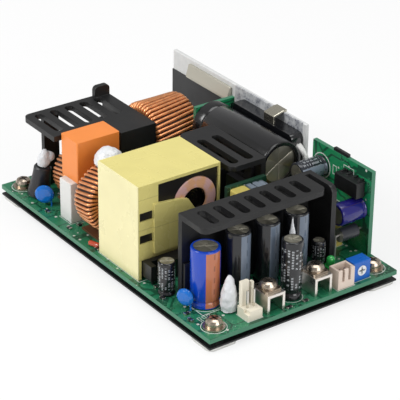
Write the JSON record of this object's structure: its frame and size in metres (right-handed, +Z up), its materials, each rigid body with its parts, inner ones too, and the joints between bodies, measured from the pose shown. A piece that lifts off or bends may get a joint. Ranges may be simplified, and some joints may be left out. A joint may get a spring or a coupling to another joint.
{
  "type": "open frame power supply",
  "caption": "Open frame switch-mode power supply: a green circuit board on corner feet with a taped transformer, wound ring chokes, black slotted heat sinks, capacitors and screw terminals.",
  "frame": {"origin": "middle of the board's length and width, on the surface the corner feet stand on", "axes": "+Z up, +X along the board's length towards the output edge with the screw terminals, +Y across the board towards the bare heat plate"},
  "size_m": [0.127, 0.0762, 0.04],
  "materials": {
    "board_green": "green solder mask with pale traces and white outlines",
    "black_film": "black insulating film",
    "foot_metal": "plain tin",
    "screw_steel": "nickel plated",
    "ferrite": "dark ferrite",
    "yellow_tape": "yellow polyester tape",
    "coil_wrap": "coil wound in pale tape",
    "black_plastic": "black moulding",
    "black_sink": "matte black anodised aluminium",
    "bare_aluminium": "bare rolled aluminium",
    "gloss_film": "glossy dark film",
    "clip_steel": "bright spring steel",
    "clamp_beige": "satin clamp bar",
    "black_epoxy": "moulded black epoxy",
    "capacitor_black": "black shrunk sleeve and scored metal top",
    "core_green": "coated ring core",
    "copper_wire": "enamelled copper wire",
    "choke_base": "brown board seats",
    "orange_box": "orange moulded box",
    "white_box": "white moulded box",
    "fuse_sleeve": "black shrunk sleeve",
    "disc_blue": "blue dipped ceramic",
    "capacitor_blue": "royal blue shrunk sleeve with a copper stripe",
    "header_ivory": "ivory moulding",
    "header_beige": "beige moulding",
    "pin_metal": "tinned pin",
    "terminal_metal": "nickel plated sheet",
    "led_green": "green diffused resin",
    "trimmer_blue": "blue moulding",
    "rotor_white": "white moulding",
    "capacitor_grey": "grey shrunk sleeve",
    "capacitor_violet": "violet blue shrunk sleeve",
    "diode_black": "black moulded diode",
    "coil_yellow": "yellow taped winding",
    "card_parts": "small sleeved parts",
    "silicone_white": "white silicone"
  },
  "bodies": {
    "supply": {"circuit_board": "board_green", "insulating_sheet": "black_film", "corner_feet": "foot_metal", "corner_washers": "screw_steel", "corner_screws": "screw_steel", "transformer_core": "ferrite", "transformer_tape": "yellow_tape", "transformer_coil": "coil_wrap", "transformer_base": "black_plastic", "output_heat_sink": "black_sink", "middle_heat_sink": "black_sink", "input_heat_sink": "black_sink", "rear_heat_plate": "bare_aluminium", "rear_insulating_film": "black_film", "rear_clamp_bar": "clamp_beige", "device_cover": "gloss_film", "spring_clip": "clip_steel", "rear_transistors": "black_epoxy", "bridge_rectifier": "black_epoxy", "switching_transistors": "black_epoxy", "output_rectifiers": "black_epoxy", "upper_bulk_capacitor": "capacitor_black", "lower_bulk_capacitor": "capacitor_black", "capacitor_board": "board_green", "power_choke_core": "core_green", "power_choke_winding": "copper_wire", "line_choke_a_core": "core_green", "line_choke_a_winding": "copper_wire", "line_choke_b_core": "core_green", "line_choke_b_winding": "copper_wire", "choke_bases": "choke_base", "line_film_capacitor": "orange_box", "white_film_capacitor": "white_box", "sleeved_fuse": "fuse_sleeve", "disc_capacitors": "disc_blue", "blue_output_capacitor": "capacitor_blue", "tall_output_capacitors": "capacitor_black", "slim_output_capacitor": "capacitor_black", "small_electrolytics": "capacitor_black", "fan_header": "header_ivory", "fan_header_pins": "pin_metal", "signal_header": "header_beige", "signal_header_pins": "pin_metal", "output_terminals": "terminal_metal", "terminal_screws": "screw_steel", "status_led": "led_green", "trimmer_body": "trimmer_blue", "daughter_board": "board_green", "daughter_small_capacitor": "capacitor_grey", "isolation_block": "black_plastic", "daughter_blue_capacitor": "capacitor_violet", "axial_diode": "diode_black", "auxiliary_transformer": "coil_yellow", "control_card": "board_green", "drive_transformer": "coil_yellow", "control_card_parts": "card_parts", "input_header": "header_ivory", "silicone_blobs": "silicone_white"},
    "trimmer": {"trimmer_rotor": "rotor_white"}
  },
  "joints": [
    {"name": "trimmer_turn", "type": "hinge", "parent": "supply", "child": "trimmer", "pos_m": [0.0618, 0.0244, 0.0084], "axis": [1, 0, 0], "range_deg": [-120, 120]}
  ]
}
